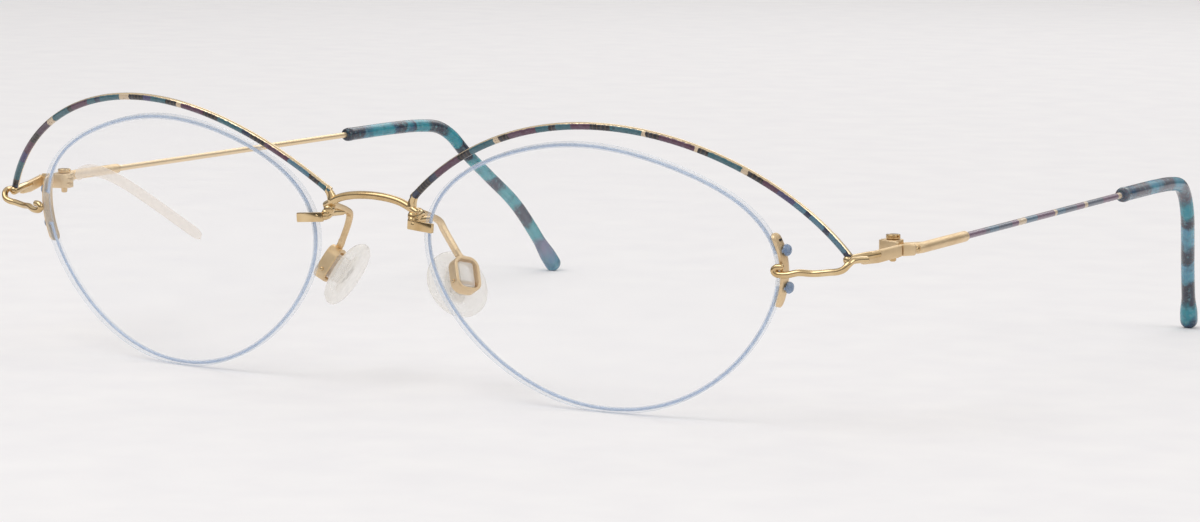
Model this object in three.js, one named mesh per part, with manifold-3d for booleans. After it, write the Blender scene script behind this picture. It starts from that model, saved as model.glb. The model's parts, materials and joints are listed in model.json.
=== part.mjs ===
import * as THREE from 'three';
import { mergeVertices } from 'three/addons/utils/BufferGeometryUtils.js';
import Module from 'manifold-3d';

const wasm = await Module();
wasm.setup();

// Semi-rimless eyeglasses, in millimetres.
// +X is the wearer's left, +Y points back along the temples and +Z is up.
// Every paired piece is modelled on the wearer's left and mirrored about X = 0.

// ---- driving dimensions ----
const GAP = 0.04;
const WIRE_SIDES = 8;

const LENS = {
  centre: [36.17, 0, 18.06],
  wrap: 4.66,
  tilt: 8.89,
  halfWidth: 26.3,
  halfHeight: 18.05,
  lean: -0.011,
  egg: 0.035,
  twist: 0.003,
  square: 0.0085,
  shoulder: 0.006,
  corner: -0.003,
  edge: 1.7,
  baseRadius: 130,
  nominalRadius: 20,
  rings: [1, 0.6, 0],
  segments: 44,
};
const GROOVE = { halfWidth: 0.33, depth: 0.72 };
const THREAD = { radius: 0.25, sides: 5, steps: 44, seat: -0.35, exit: 0.7 };
const BRACKET = {
  gap: 0.06,
  thick: 0.55,
  rib: 0.2,
  ribHalf: 0.45,
  width: 1.8,
  back: 0.3,
  bottom: -3,
  top: 6.7,
};
const KNOB = { z: [4.4, -0.4], radius: 0.8, flatten: 0.7, gap: 0.03, back: 0.4 };

const BROW = {
  radius: 0.5,
  joint: [7.17, -0.01, 26.69],
  rise: [32.34, -8.18, 46.84],
  fall: [62.08, 0.26, 37.22],
  corner: [71.14, 7.13, 22.56],
  foot: [6.8, 0.1, 25.5],
  steps: 24,
};
const BRIDGE = {
  radius: 0.55,
  end: [7.76, 0.05, 24.65],
  shoulder: [4.9, -0.22, 25.97],
  apex: [0, -0.3, 26.51],
  steps: 14,
};

const CLIP = {
  outer: [11.5, -1.56, 22.85],
  inner: [7.3, -1.35, 23.15],
  neck: [7.35, -0.45, 24.15],
  neckThick: 0.75,
  high: 1.3,
  deep: 0.5,
};
const ARM = {
  thick: 0.85,
  start: [7.25, 0.85, 24.7],
  middle: [7.4, 3.8, 23.75],
  corner: [7.7, 5.2, 23],
  bend: [8.2, 5.6, 21.8],
  foot: [10.1, 6.3, 18.35],
};

// Pad frame: X along the pin, Y towards the nose, Z up along the box.
const PAD = {
  boxCentre: [11.58, 5.77, 15.85],
  faceDirection: [-0.85, 0.25, -0.46],
  downDirection: [0.4, -0.35, -0.85],
  boxWidth: 4,
  boxHeight: 5.1,
  boxDepth: 1.75,
  boxCorner: 1.5,
  wall: 0.45,
  pinRadius: 0.26,
  pinProud: 0.12,
  pinZ: -1.1,
  stemWidth: 2.3,
  stemHeight: 3.6,
  stemBack: -0.5,
  plateRadius: 1.7,
  plateStretch: 1.7,
  plateThick: 0.5,
  plateY: 2.85,
  halfWidth: 4.75,
  halfHeight: 4.8,
  offset: 0.6,
  backY: 2,
  faceY: 3.75,
  rim: 0.7,
};

const HINGE = {
  axis: [71.25, 18.02, 22.85],
  plateTurn: -17,
  plateX: 3.1,
  barRadius: 0.6,
  barStart: -10.9,
  barEnd: -7,
  barDrop: -0.72,
  plateThick: 0.8,
  plateEnd: -1.5,
  blockFront: -2,
  band: [[-8.3, -1.45, 0.1], [-5.6, -1.4, 0.28], [-3, -1.05, 0.6], [-1.5, -0.8, 0.78]],
  blockHalf: 1.05,
  knuckleRadius: 1.35,
  knuckleGap: 0.4,
  clearRadius: 1.5,
  boreRadius: 0.52,
  screwRadius: 0.44,
  headRadius: 0.95,
  headHeight: 0.62,
  headRise: 0.04,
  slotWidth: 0.28,
  slotDepth: 0.35,
  tail: 0.8,
};

// Temple frame: origin on the hinge axis, Y along the temple.
const TEMPLE = {
  toeIn: 3.78,
  lineX: 3.38,
  leafStart: [[2.01, -2.3], [2.76, -2.58]],
  leafShoulder: -1.4,
  leafEnd: -0.7,
  leafThick: 1,
  leafHalf: 0.78,
  webHalf: 0.36,
  braceEnd: 4.4,
  braceHalf: 0.5,
  beadY: -0.42,
  beadRadius: 0.6,
  sleeveStart: 0.12,
  sleeveEnd: 15.05,
  sleeveRadius: 0.73,
  socket: 1,
  wireRadius: 0.46,
  coreEnd: 79,
  tipStart: 67.4,
  tipRadius: 1.04,
  mouthRadius: 1.1,
  mouthLength: 1.1,
  bulbRadius: 1.36,
  bulbLength: 4.6,
  path: [
    [3.38, 67.4, 0],
    [3.38, 80, -0.05],
    [3.25, 86, -0.3],
    [3, 90.2, -0.95],
    [2.6, 93.1, -2.65],
    [2, 95.8, -5.6],
    [0.4, 100.2, -10.2],
    [-1.45, 105, -15.4],
  ],
  tipEnd: [-3.85, 111.8],
  tipLevel: 0.77,
  steps: 22,
};

const ENDPIECE = {
  radius: 0.45,
  path: [
    [63.5, 3.1, 21.05],
    [62.75, 2.95, 20.95],
    [62.4, 2.9, 20.55],
    [62.75, 2.95, 20.15],
    [64.1, 3.3, 20.08],
    [65.5, 3.9, 20.4],
    [67.3, 4.75, 20.35],
    [69.3, 5.2, 20.6],
    [70.6, 5.2, 20.8],
    [71.4, 5.3, 21.15],
    [71.85, 5.65, 21.75],
    [72.1, 6.3, 22.17],
    [72.4, 7.3, 22.24],
    [72.79, 8.6, 22.19],
  ],
  steps: 34,
};

// The two temples rise a little differently towards their bends.
const SIDES = [
  { name: 'left', sign: 1, rise: 1.25 },
  { name: 'right', sign: -1, rise: 2.05 },
];

// ---- materials ----
const MATERIALS = {
  polishedGold: { color: 0xd9b676, roughness: 0.3, metalness: 1 },
  satinGold: { color: 0xdcbf8c, roughness: 0.5, metalness: 1 },
  enamel: { color: 0x4b7f86, roughness: 0.35, metalness: 0.3 },
  lens: { color: 0xf4f8fa, roughness: 0.03, metalness: 0, transparent: true, opacity: 0.2 },
  thread: { color: 0xaac2e0, roughness: 0.4, metalness: 0 },
  knob: { color: 0x6f8fb5, roughness: 0.3, metalness: 0 },
  silicone: { color: 0xf1efe9, roughness: 0.25, metalness: 0, transparent: true, opacity: 0.5 },
  insert: { color: 0xe6e4e0, roughness: 0.4, metalness: 0 },
  tip: { color: 0x2f8f9c, roughness: 0.25, metalness: 0 },
};

// ---- geometry helpers ----
const vector = (point) => new THREE.Vector3(...point);

// A closed mesh with shared vertices and no collapsed triangles, faces outwards.
function closed(geometry) {
  const bare = geometry.clone();
  bare.deleteAttribute('normal');
  bare.deleteAttribute('uv');
  const merged = mergeVertices(bare, 1e-5);
  const source = merged.index.array;
  const spots = merged.attributes.position;
  const kept = [];
  let volume = 0;
  for (let i = 0; i < source.length; i += 3) {
    const [a, b, c] = [source[i], source[i + 1], source[i + 2]];
    if (a === b || b === c || a === c) continue;
    kept.push(a, b, c);
    const first = new THREE.Vector3().fromBufferAttribute(spots, a);
    const second = new THREE.Vector3().fromBufferAttribute(spots, b);
    const third = new THREE.Vector3().fromBufferAttribute(spots, c);
    volume += first.dot(second.cross(third));
  }
  merged.setIndex(volume < 0 ? kept.reverse() : kept);
  return merged;
}

function solid(geometry) {
  const mesh = closed(geometry);
  return new wasm.Manifold(new wasm.Mesh({
    numProp: 3,
    vertProperties: new Float32Array(mesh.attributes.position.array),
    triVerts: new Uint32Array(mesh.index.array),
  }));
}

function geometryOf(manifold) {
  const result = manifold.getMesh();
  const geometry = new THREE.BufferGeometry();
  geometry.setAttribute('position', new THREE.BufferAttribute(new Float32Array(result.vertProperties), 3));
  geometry.setIndex(Array.from(result.triVerts));
  return geometry;
}

function polygon(points) {
  return new THREE.Shape(points.map(([x, y]) => new THREE.Vector2(x, y)));
}

function circle(radius, sides) {
  const corners = [];
  for (let i = 0; i < sides; i += 1) {
    const angle = ((i + 0.5) * 2 * Math.PI) / sides;
    corners.push([radius * Math.cos(angle), radius * Math.sin(angle)]);
  }
  return polygon(corners);
}

function square(size) {
  const half = size / 2;
  return polygon([[half, half], [-half, half], [-half, -half], [half, -half]]);
}

function sweep(curve, section, steps) {
  return new THREE.ExtrudeGeometry(section, { steps, extrudePath: curve, bevelEnabled: false });
}

function smoothCurve(points) {
  return new THREE.CatmullRomCurve3(points.map(vector), false, 'centripetal');
}

function wire(points, radius, steps, sides = WIRE_SIDES) {
  return solid(sweep(smoothCurve(points), circle(radius, sides), steps));
}

function ball(point, radius, widthSegments = 8, heightSegments = 6) {
  return solid(new THREE.SphereGeometry(radius, widthSegments, heightSegments).translate(...point));
}

// A flat outline in X and Y, raised along Z between two levels.
function slab(points, low, high) {
  const block = new THREE.ExtrudeGeometry(polygon(points), { depth: high - low, bevelEnabled: false });
  return solid(block.translate(0, 0, low));
}

function rectangle(x0, x1, y0, y1) {
  return [[x0, y0], [x1, y0], [x1, y1], [x0, y1]];
}

function post(radius, low, high, sides = 14) {
  const rod = new THREE.ExtrudeGeometry(circle(radius, sides), { depth: high - low, bevelEnabled: false });
  return solid(rod.translate(0, 0, low));
}

// A rounded rectangle in X and Z, running along Y between two levels.
function roundedBlock(width, height, corner, y0, y1) {
  const [w, h] = [width / 2, height / 2];
  const shape = new THREE.Shape();
  shape.moveTo(w - corner, -h);
  shape.absarc(w - corner, -h + corner, corner, -Math.PI / 2, 0, false);
  shape.absarc(w - corner, h - corner, corner, 0, Math.PI / 2, false);
  shape.absarc(-w + corner, h - corner, corner, Math.PI / 2, Math.PI, false);
  shape.absarc(-w + corner, -h + corner, corner, Math.PI, 1.5 * Math.PI, false);
  const block = new THREE.ExtrudeGeometry(shape, { depth: y1 - y0, bevelEnabled: false, curveSegments: 3 });
  return solid(block.rotateX(Math.PI / 2).translate(0, y1, 0));
}

// ---- frames ----
const WORLD = new THREE.Matrix4();
const MIRROR = new THREE.Matrix4().makeScale(-1, 1, 1);

function turnedFrame(position, turn, tilt) {
  const turned = new THREE.Euler(THREE.MathUtils.degToRad(tilt), 0, THREE.MathUtils.degToRad(turn), 'ZXY');
  return new THREE.Matrix4().makeRotationFromEuler(turned).setPosition(...position);
}

function padFrameMatrix() {
  const down = vector(PAD.downDirection).normalize();
  const face = vector(PAD.faceDirection);
  face.addScaledVector(down, -face.dot(down)).normalize();
  const up = down.clone().negate();
  const pin = new THREE.Vector3().crossVectors(face, up);
  return new THREE.Matrix4().makeBasis(pin, face, up).setPosition(...PAD.boxCentre);
}

const LENS_FRAME = turnedFrame(LENS.centre, LENS.wrap, LENS.tilt);
const PAD_FRAME = padFrameMatrix();
const PLATE_FRAME = turnedFrame(HINGE.axis, HINGE.plateTurn, 0);
const LEAF_FRAME = turnedFrame(HINGE.axis, TEMPLE.toeIn, 0);

function intoFrame(manifold, from, to) {
  const change = to.clone().invert().multiply(from);
  return solid(geometryOf(manifold).applyMatrix4(change));
}

// ---- lens, thread and temporal bracket ----
function rimPoint(angle, offset = 0) {
  const shape = 1
    + LENS.lean * Math.sin(2 * angle)
    + LENS.egg * Math.sin(3 * angle)
    + LENS.twist * Math.sin(4 * angle)
    + LENS.square * Math.cos(4 * angle)
    + LENS.shoulder * Math.sin(5 * angle)
    + LENS.corner * Math.cos(6 * angle);
  const x = LENS.halfWidth * shape * Math.cos(angle);
  const z = LENS.halfHeight * shape * Math.sin(angle);
  const scale = 1 + offset / Math.hypot(x, z);
  return [x * scale, z * scale];
}

// The rim angle on the temporal side at a given height.
function rimAngle(height) {
  let angle = 0;
  for (let i = 0; i < 20; i += 1) {
    angle += (height - rimPoint(angle)[1]) / LENS.halfHeight;
  }
  return angle;
}

function lens() {
  const half = LENS.edge / 2;
  const radius = LENS.nominalRadius;
  const groove = radius - GROOVE.depth;
  const face = (side) => LENS.rings.map((share) => [share * radius, side * half]);
  const profile = [
    ...face(-1).reverse(),
    [radius, -GROOVE.halfWidth],
    [groove, -GROOVE.halfWidth],
    [groove, GROOVE.halfWidth],
    [radius, GROOVE.halfWidth],
    ...face(1),
  ].map(([x, y]) => new THREE.Vector2(x, y));
  const geometry = new THREE.LatheGeometry(profile, LENS.segments);
  const spots = geometry.attributes.position;
  for (let i = 0; i < spots.count; i += 1) {
    const [x, z] = [spots.getX(i), spots.getZ(i)];
    const reach = Math.hypot(x, z);
    const rim = rimPoint(Math.atan2(z, x));
    const length = Math.hypot(...rim);
    const inner = reach > radius * 0.9 ? 1 - (radius - reach) / length : reach / radius;
    spots.setX(i, rim[0] * inner);
    spots.setZ(i, rim[1] * inner);
  }
  return curved(solid(geometry));
}

// Bends a lens-frame solid onto the lens's base curve.
function curved(manifold) {
  const geometry = geometryOf(manifold);
  const spots = geometry.attributes.position;
  for (let i = 0; i < spots.count; i += 1) {
    const [x, y, z] = [spots.getX(i), spots.getY(i), spots.getZ(i)];
    spots.setY(i, y + (x * x + z * z) / (2 * LENS.baseRadius));
  }
  return solid(geometry);
}

// The thread lies in the groove and its two ends leave through the bracket.
function thread() {
  const [first, last] = KNOB.z.map(rimAngle);
  const turns = 2 * Math.PI + last - first;
  const points = [];
  for (let i = 0; i <= THREAD.steps; i += 1) {
    const [x, z] = rimPoint(first + (turns * i) / THREAD.steps, THREAD.seat);
    points.push([x, 0, z]);
  }
  let loop = wire(points, THREAD.radius, THREAD.steps, THREAD.sides);
  for (const height of KNOB.z) {
    loop = loop.add(radialRod(height, THREAD.radius, THREAD.seat - THREAD.radius / 2, THREAD.exit));
  }
  return curved(loop);
}

function bracket() {
  const arc = (offset) => {
    const points = [];
    const count = 8;
    const low = rimAngle(BRACKET.bottom);
    const high = rimAngle(BRACKET.top);
    for (let i = 0; i <= count; i += 1) {
      points.push(rimPoint(low + ((high - low) * i) / count, offset));
    }
    return points;
  };
  const band = (inner, outer, half) => {
    const outline = polygon([...arc(inner), ...arc(outer).reverse()]);
    const strip = new THREE.ExtrudeGeometry(outline, { depth: 2 * half, bevelEnabled: false });
    return solid(strip.rotateX(Math.PI / 2).translate(0, BRACKET.back + half, 0));
  };
  const outer = BRACKET.gap + BRACKET.thick;
  const strip = band(BRACKET.gap, outer, BRACKET.width / 2);
  const body = strip.add(band(outer - GAP, outer + BRACKET.rib, BRACKET.ribHalf));
  const middle = (BRACKET.top + BRACKET.bottom) / 2;
  const reach = 4;
  const stadium = solid(new THREE.ExtrudeGeometry(
    stadiumShape(BRACKET.width, BRACKET.top - BRACKET.bottom - 0.2),
    { depth: 2 * reach, bevelEnabled: false, curveSegments: 6 },
  ).rotateX(Math.PI / 2).rotateZ(Math.PI / 2).translate(LENS.halfWidth - reach, BRACKET.back, middle));
  let result = body.intersect(stadium);
  for (const height of KNOB.z) {
    result = result.subtract(radialRod(height, THREAD.radius + 0.1, -0.1, 2));
  }
  return curved(result);
}

function stadiumShape(width, length) {
  const radius = width / 2;
  const straight = length / 2 - radius;
  const shape = new THREE.Shape();
  shape.moveTo(radius, -straight);
  shape.lineTo(radius, straight);
  shape.absarc(0, straight, radius, 0, Math.PI, false);
  shape.lineTo(-radius, -straight);
  shape.absarc(0, -straight, radius, Math.PI, 2 * Math.PI, false);
  return shape;
}

// A straight rod across the rim at a height, between two distances from the rim.
function radialRod(height, radius, from, to) {
  const angle = rimAngle(height);
  const [x0, z0] = rimPoint(angle, from);
  const [x1, z1] = rimPoint(angle, to);
  return wire([[x0, 0, z0], [x1, 0, z1]], radius, 1, 8);
}

function knob(height) {
  const angle = rimAngle(height);
  const foot = BRACKET.gap + BRACKET.thick + BRACKET.rib + KNOB.gap;
  const [x, z] = rimPoint(angle, foot + KNOB.radius * KNOB.flatten);
  const round = new THREE.SphereGeometry(KNOB.radius, 8, 6);
  round.scale(KNOB.flatten, 1, 1).rotateY(-Math.atan2(z, x)).translate(x, KNOB.back, z);
  return curved(solid(round));
}

// ---- bridge, brow bars, clips and pad arms ----
function bridge(radius) {
  const mirror = ([x, y, z]) => [-x, y, z];
  const half = [BRIDGE.end, BRIDGE.shoulder];
  const points = [...half, BRIDGE.apex, ...half.map(mirror).reverse()];
  return wire(points, radius, BRIDGE.steps)
    .add(ball(BRIDGE.end, radius))
    .add(ball(mirror(BRIDGE.end), radius));
}

function browBar(radius) {
  const arch = new THREE.CubicBezierCurve3(...[BROW.joint, BROW.rise, BROW.fall, BROW.corner].map(vector));
  const points = arch.getSpacedPoints(BROW.steps).map((point) => point.toArray());
  return wire([BROW.foot, ...points], radius, BROW.steps + 1);
}

function clip() {
  const [outer, inner] = [vector(CLIP.outer), vector(CLIP.inner)];
  const bar = new THREE.BoxGeometry(outer.distanceTo(inner), CLIP.deep, CLIP.high);
  const along = outer.clone().sub(inner).normalize();
  const back = new THREE.Vector3(0, 1, 0).addScaledVector(along, -along.y).normalize();
  const up = new THREE.Vector3().crossVectors(along, back);
  const middle = outer.clone().add(inner).multiplyScalar(0.5);
  bar.applyMatrix4(new THREE.Matrix4().makeBasis(along, back, up).setPosition(middle));
  const neck = sweep(smoothCurve([CLIP.inner, CLIP.neck]), square(CLIP.neckThick), 1);
  return solid(bar).add(solid(neck));
}

function padArm() {
  const route = smoothCurve([ARM.start, ARM.middle, ARM.corner, ARM.bend, ARM.foot]);
  return solid(sweep(route, square(ARM.thick), 12));
}

// ---- nose pads ----
function padBox() {
  const half = PAD.boxDepth / 2;
  const hole = [PAD.boxWidth - 2 * PAD.wall, PAD.boxHeight - 2 * PAD.wall, PAD.boxCorner - PAD.wall];
  return roundedBlock(PAD.boxWidth, PAD.boxHeight, PAD.boxCorner, -half, half)
    .subtract(roundedBlock(...hole, -half - 1, half + 1))
    .subtract(crossPin(PAD.pinRadius + GAP, PAD.boxWidth));
}

function crossPin(radius, length) {
  return wire([[-length / 2, 0, PAD.pinZ], [length / 2, 0, PAD.pinZ]], radius, 1, 12);
}

function padInsert(grow) {
  const stem = roundedBlock(
    PAD.stemWidth + 2 * grow,
    PAD.stemHeight + 2 * grow,
    0.3,
    PAD.stemBack,
    PAD.plateY + PAD.plateThick / 2,
  );
  const plate = new THREE.CylinderGeometry(PAD.plateRadius + grow, PAD.plateRadius + grow, 1, 16);
  plate.scale(1, PAD.plateThick + 2 * grow, PAD.plateStretch).translate(PAD.offset / 2, PAD.plateY, 0);
  return stem.add(solid(plate));
}

function nosePad() {
  const middle = (PAD.backY + PAD.faceY) / 2;
  const half = (PAD.faceY - PAD.backY) / 2;
  const profile = [
    [0, -half],
    [1 - PAD.rim / PAD.halfWidth, -half],
    [1, 0],
    [1 - PAD.rim / PAD.halfWidth, half],
    [0, half],
  ].map(([x, y]) => new THREE.Vector2(x, y));
  const body = new THREE.LatheGeometry(profile, 24);
  body.scale(PAD.halfWidth, 1, PAD.halfHeight).translate(PAD.offset, middle, 0);
  return solid(body).subtract(padInsert(GAP));
}

// ---- hinge ----
function hingeBar(radius) {
  const start = [HINGE.plateX, HINGE.barStart, HINGE.barDrop];
  const end = [HINGE.plateX, HINGE.barEnd, HINGE.barDrop / 2];
  return wire([start, end], radius, 1, 10).add(ball(start, radius, 10));
}

function frontLeaf() {
  const x = HINGE.plateX;
  const lower = HINGE.band.map(([y, low]) => [y, low]);
  const upper = HINGE.band.map(([y, , high]) => [y, high]).reverse();
  const side = polygon([...lower, ...upper]);
  const plate = new THREE.ExtrudeGeometry(side, { depth: HINGE.plateThick, bevelEnabled: false });
  plate.rotateX(Math.PI / 2).rotateZ(Math.PI / 2).translate(x - HINGE.plateThick / 2, 0, 0);
  const r = HINGE.knuckleRadius;
  const bridgeOver = rectangle(-1, x - 0.3, HINGE.blockFront, HINGE.plateEnd);
  const block = slab(bridgeOver, -HINGE.blockHalf, HINGE.blockHalf)
    .add(slab(rectangle(-r, r, HINGE.plateEnd - 0.5, 0), -HINGE.blockHalf, HINGE.blockHalf))
    .add(post(r, -HINGE.blockHalf, HINGE.blockHalf));
  const inner = x - HINGE.plateThick / 2;
  const slot = slab(rectangle(-2, inner, HINGE.plateEnd, 3), -HINGE.knuckleGap, HINGE.knuckleGap)
    .add(post(HINGE.clearRadius, -HINGE.knuckleGap, HINGE.knuckleGap));
  return hingeBar(HINGE.barRadius)
    .add(solid(plate))
    .add(block)
    .subtract(slot)
    .subtract(post(HINGE.boreRadius, -5, 5));
}

function screw() {
  const under = HINGE.blockHalf + HINGE.headRise;
  const top = under + HINGE.headHeight;
  const profile = [
    [0, under],
    [HINGE.headRadius * 0.9, under],
    [HINGE.headRadius, under + 0.15],
    [HINGE.headRadius, top - 0.3],
    [HINGE.headRadius * 0.75, top],
    [0, top],
  ].map(([x, y]) => new THREE.Vector2(x, y));
  const head = solid(new THREE.LatheGeometry(profile, 16).rotateX(Math.PI / 2));
  const slot = slab(
    rectangle(-2, 2, -HINGE.slotWidth / 2, HINGE.slotWidth / 2),
    top - HINGE.slotDepth,
    top + 1,
  );
  const shaft = post(HINGE.screwRadius, -HINGE.blockHalf - HINGE.tail, under + 0.1);
  return head.subtract(slot).add(shaft);
}

function templeLeaf() {
  const x = TEMPLE.lineX;
  const half = TEMPLE.leafThick / 2;
  const { leafStart, leafShoulder, leafHalf, beadY } = TEMPLE;
  const plan = slab(
    [...leafStart, [x + half, leafShoulder], [x + 0.4, beadY], [x - 0.4, beadY], [x - half, leafShoulder]],
    -2,
    2,
  );
  const side = new THREE.ExtrudeGeometry(polygon([
    [-3, -leafHalf],
    [leafShoulder, -leafHalf * 0.9],
    [beadY, -0.42],
    [beadY, 0.42],
    [leafShoulder, leafHalf * 0.9],
    [-3, leafHalf],
  ]), { depth: 6, bevelEnabled: false });
  const tapered = plan.intersect(solid(side.rotateX(Math.PI / 2).rotateZ(Math.PI / 2)));
  const web = slab(
    [[0, -1.2], [x, leafShoulder + 0.2], [x, TEMPLE.leafEnd], [0, HINGE.knuckleRadius]],
    -TEMPLE.webHalf,
    TEMPLE.webHalf,
  );
  const knuckle = post(HINGE.knuckleRadius, -TEMPLE.webHalf, TEMPLE.webHalf);
  const inner = x - TEMPLE.sleeveRadius - GAP;
  const brace = slab(
    [
      [inner, 0.4],
      [inner, TEMPLE.braceEnd],
      [inner - 0.45, TEMPLE.braceEnd],
      [0, HINGE.clearRadius + 0.1],
      [1.2, 1],
    ],
    -TEMPLE.braceHalf,
    TEMPLE.braceHalf,
  );
  const root = slab(
    [[0, 0.8], [inner, 0.3], [inner, 1.8], [0, HINGE.clearRadius + 0.6]],
    -TEMPLE.webHalf,
    TEMPLE.webHalf,
  );
  const neck = wire([[x, beadY, 0], [x, TEMPLE.sleeveStart - GAP, 0]], 0.4, 1);
  const room = new THREE.BoxGeometry(2 * (x - inner), 8, 6).translate(x, TEMPLE.sleeveStart - GAP + 4, 0);
  return tapered.add(web).add(knuckle).add(brace).add(root).add(neck)
    .add(ball([x, beadY, 0], TEMPLE.beadRadius))
    .subtract(post(HINGE.boreRadius, -5, 5))
    .subtract(solid(room));
}

function sleeve() {
  const end = [TEMPLE.lineX, TEMPLE.sleeveEnd - 0.5, 0];
  const start = [TEMPLE.lineX, TEMPLE.sleeveStart, 0];
  const body = wire([start, end], TEMPLE.sleeveRadius, 1, 12);
  const dome = new THREE.SphereGeometry(TEMPLE.sleeveRadius, 12, 6).rotateX(Math.PI / 2).translate(...end);
  const mouth = [TEMPLE.lineX, TEMPLE.sleeveStart + TEMPLE.socket, 0];
  const beyond = [TEMPLE.lineX, TEMPLE.sleeveEnd + 2, 0];
  return body.add(solid(dome)).subtract(wire([mouth, beyond], TEMPLE.wireRadius + GAP, 1));
}

// A straight run along the temple line between two distances from the hinge.
function templeLine(radius, from, to, steps) {
  const points = [from, to].map((y) => [TEMPLE.lineX, y, 0]);
  return wire(points, radius, steps);
}

function templeTip(rise) {
  const angle = THREE.MathUtils.degToRad(rise);
  const [endX, endY] = TEMPLE.tipEnd;
  const endZ = (TEMPLE.tipLevel - HINGE.axis[2] - endY * Math.sin(angle)) / Math.cos(angle);
  const path = [...TEMPLE.path, [endX, endY, endZ]];
  const body = wire(path, TEMPLE.tipRadius, TEMPLE.steps);
  const [start] = TEMPLE.path;
  const mouthEnd = [start[0], start[1] + TEMPLE.mouthLength, start[2]];
  const mouth = wire([start, mouthEnd], TEMPLE.mouthRadius, 1);
  const [before, end] = path.slice(-2).map(vector);
  const along = end.clone().sub(before).normalize();
  const bulb = new THREE.SphereGeometry(TEMPLE.bulbRadius, 10, 8);
  bulb.scale(1, TEMPLE.bulbLength / TEMPLE.bulbRadius / 2, 1);
  bulb.applyQuaternion(new THREE.Quaternion().setFromUnitVectors(new THREE.Vector3(0, 1, 0), along));
  const centre = end.clone().addScaledVector(along, -TEMPLE.bulbLength / 4);
  bulb.translate(...centre.toArray());
  const bore = templeLine(TEMPLE.wireRadius + 2 * GAP, TEMPLE.tipStart - 1, TEMPLE.coreEnd + 0.3, 1);
  return body.add(mouth).add(solid(bulb)).subtract(bore);
}

// ---- assembly ----
const eyeglasses = new THREE.Group();
eyeglasses.name = 'eyeglasses';

function addMesh(name, geometry, matrix, look) {
  const mesh = new THREE.Mesh(geometry, new THREE.MeshStandardMaterial(MATERIALS[look]));
  mesh.name = name;
  mesh.applyMatrix4(matrix);
  eyeglasses.add(mesh);
}

function addSide(name, side, manifold, frame, look) {
  const geometry = geometryOf(manifold);
  const matrix = frame.clone();
  if (side.sign < 0) {
    geometry.applyMatrix4(MIRROR);
    matrix.premultiply(MIRROR).multiply(MIRROR);
  }
  addMesh(`${name}_${side.name}`, closed(geometry), matrix, look);
}

function addPair(name, manifold, frame, look) {
  for (const side of SIDES) {
    addSide(name, side, manifold, frame, look);
  }
}

const bridgeRoom = bridge(BRIDGE.radius + GAP);
const hingeRoom = intoFrame(hingeBar(HINGE.barRadius + 2 * GAP), PLATE_FRAME, WORLD);
const browWire = browBar(BROW.radius).subtract(bridgeRoom).subtract(hingeRoom);
const clipBar = clip().subtract(bridgeRoom).subtract(browBar(BROW.radius + GAP));
const endpiece = wire(ENDPIECE.path, ENDPIECE.radius, ENDPIECE.steps).subtract(hingeRoom);
const insert = padInsert(0).subtract(crossPin(PAD.pinRadius + 0.1, 2 * PAD.boxWidth));
const wireStart = TEMPLE.sleeveStart + TEMPLE.socket + GAP;
const templeWire = templeLine(TEMPLE.wireRadius, wireStart, TEMPLE.coreEnd, 1);

addMesh('bridge', closed(geometryOf(bridge(BRIDGE.radius))), WORLD, 'polishedGold');
addPair('brow_bar', browWire, WORLD, 'enamel');
addPair('nasal_clip', clipBar, WORLD, 'polishedGold');
addPair('pad_arm', padArm(), WORLD, 'satinGold');
addPair('pad_box', padBox(), PAD_FRAME, 'polishedGold');
addPair('pad_pin', crossPin(PAD.pinRadius, PAD.boxWidth + 2 * PAD.pinProud), PAD_FRAME, 'polishedGold');
addPair('nose_pad', nosePad(), PAD_FRAME, 'silicone');
addPair('pad_insert', insert, PAD_FRAME, 'insert');
addPair('lens', lens(), LENS_FRAME, 'lens');
addPair('nylon_thread', thread(), LENS_FRAME, 'thread');
addPair('lens_bracket', bracket(), LENS_FRAME, 'satinGold');
addPair('thread_knob_upper', knob(KNOB.z[0]), LENS_FRAME, 'knob');
addPair('thread_knob_lower', knob(KNOB.z[1]), LENS_FRAME, 'knob');
addPair('endpiece_wire', endpiece, WORLD, 'polishedGold');
addPair('hinge_plate', frontLeaf(), PLATE_FRAME, 'satinGold');
addPair('hinge_screw', screw(), PLATE_FRAME, 'polishedGold');
addPair('temple_hinge', templeLeaf(), LEAF_FRAME, 'satinGold');
for (const side of SIDES) {
  const frame = turnedFrame(HINGE.axis, TEMPLE.toeIn, side.rise);
  addSide('temple_sleeve', side, sleeve(), frame, 'satinGold');
  addSide('temple_wire', side, templeWire, frame, 'enamel');
  addSide('temple_tip', side, templeTip(side.rise), frame, 'tip');
}

// The origin is centred under the eyeglasses, at the level they stand on.
const bounds = new THREE.Box3().setFromObject(eyeglasses, true);
const centre = bounds.getCenter(new THREE.Vector3());
eyeglasses.position.set(0, -centre.y, -bounds.min.z);

export default eyeglasses;
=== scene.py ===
import json
import math

import bmesh
import bpy
from mathutils import Matrix, Vector


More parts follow.
